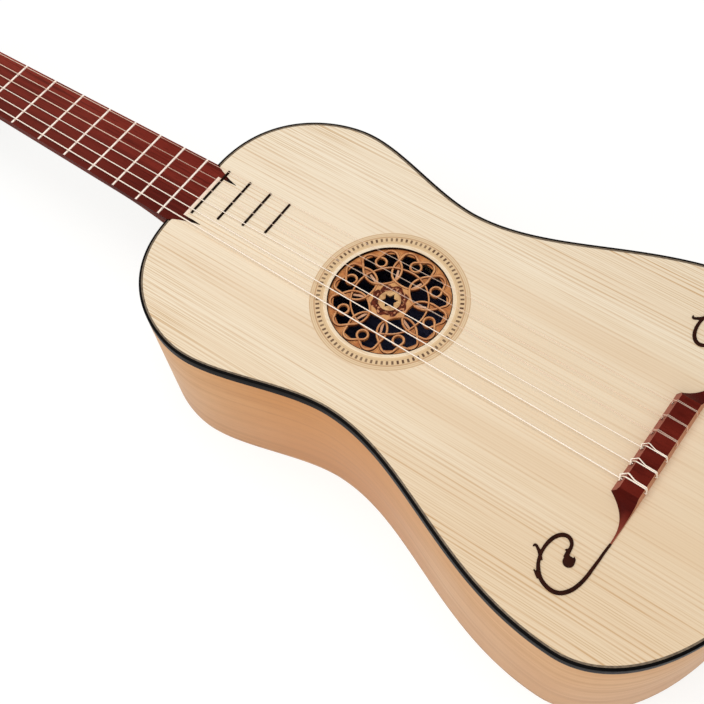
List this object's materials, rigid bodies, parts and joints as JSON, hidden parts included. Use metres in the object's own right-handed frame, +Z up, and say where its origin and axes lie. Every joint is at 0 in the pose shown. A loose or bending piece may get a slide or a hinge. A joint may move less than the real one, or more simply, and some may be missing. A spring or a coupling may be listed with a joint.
{
  "type": "baroque guitar",
  "caption": "Small waisted guitar with a deep flat-backed body, pierced rose, tie bridge with scrolls, flush fretboard and a tilted head with friction pegs.",
  "frame": {"origin": "middle of the overall box in plan, at the level of the back it lies on", "axes": "+Z up out of the soundboard, +Y towards the head, +X towards the treble side"},
  "size_m": [0.2966, 0.9406, 0.1252],
  "materials": {
    "spruce": "satin spruce, straight grain",
    "rib_wood": "satin light reddish-brown hardwood",
    "black_wood": "black ebony, satin",
    "inner_wood": "plain sawn, unvarnished",
    "rosewood": "dark red-brown rosewood, satin",
    "rose_wood": "orange-brown carved wood, satin",
    "rosette_wood": "inlaid wood rings, satin",
    "bone": "polished bone",
    "peg_wood": "turned dark hardwood, polished",
    "fret_metal": "polished nickel silver",
    "plain_string": "clear drawn nylon",
    "wound_string": "silvered wire wrap"
  },
  "bodies": {
    "guitar": {"soundboard": "spruce", "back": "rib_wood", "rib_bass": "rib_wood", "rib_treble": "rib_wood", "binding_bass": "black_wood", "binding_treble": "black_wood", "wooden_fret_10": "black_wood", "wooden_fret_11": "black_wood", "wooden_fret_12": "black_wood", "wooden_fret_13": "black_wood", "top_lining_bass": "inner_wood", "top_lining_treble": "inner_wood", "back_lining_bass": "inner_wood", "back_lining_treble": "inner_wood", "neck_block": "inner_wood", "tail_block": "inner_wood", "top_bar_1": "inner_wood", "top_bar_2": "inner_wood", "top_bar_3": "inner_wood", "back_bar_1": "inner_wood", "back_bar_2": "inner_wood", "fretboard": "rosewood", "neck": "rosewood", "head": "rosewood", "head_facing": "rosewood", "bridge": "rosewood", "scroll_bass": "rosewood", "scroll_treble": "rosewood", "rose": "rose_wood", "rosette": "rosette_wood", "nut": "bone", "fret_1": "fret_metal", "fret_2": "fret_metal", "fret_3": "fret_metal", "fret_4": "fret_metal", "fret_5": "fret_metal", "fret_6": "fret_metal", "fret_7": "fret_metal", "fret_8": "fret_metal", "fret_9": "fret_metal", "string_1": "plain_string", "string_2": "plain_string", "string_3": "plain_string", "string_4": "wound_string", "string_5": "wound_string", "string_6": "wound_string"},
    "peg_1": {"peg_1": "peg_wood"},
    "peg_2": {"peg_2": "peg_wood"},
    "peg_3": {"peg_3": "peg_wood"},
    "peg_4": {"peg_4": "peg_wood"},
    "peg_5": {"peg_5": "peg_wood"},
    "peg_6": {"peg_6": "peg_wood"}
  },
  "joints": [
    {"name": "peg_1_turn", "type": "hinge", "parent": "guitar", "child": "peg_1", "pos_m": [0.0225, 0.3396, 0.1086], "axis": [0, 0.1392, 0.9903], "continuous": true},
    {"name": "peg_2_turn", "type": "hinge", "parent": "guitar", "child": "peg_2", "pos_m": [0.0245, 0.38713, 0.10192], "axis": [0, 0.1392, 0.9903], "continuous": true},
    {"name": "peg_3_turn", "type": "hinge", "parent": "guitar", "child": "peg_3", "pos_m": [0.0265, 0.43466, 0.09524], "axis": [0, 0.1392, 0.9903], "continuous": true},
    {"name": "peg_4_turn", "type": "hinge", "parent": "guitar", "child": "peg_4", "pos_m": [-0.0265, 0.43466, 0.09524], "axis": [0, 0.1392, 0.9903], "continuous": true},
    {"name": "peg_5_turn", "type": "hinge", "parent": "guitar", "child": "peg_5", "pos_m": [-0.0245, 0.38713, 0.10192], "axis": [0, 0.1392, 0.9903], "continuous": true},
    {"name": "peg_6_turn", "type": "hinge", "parent": "guitar", "child": "peg_6", "pos_m": [-0.0225, 0.3396, 0.1086], "axis": [0, 0.1392, 0.9903], "continuous": true}
  ]
}
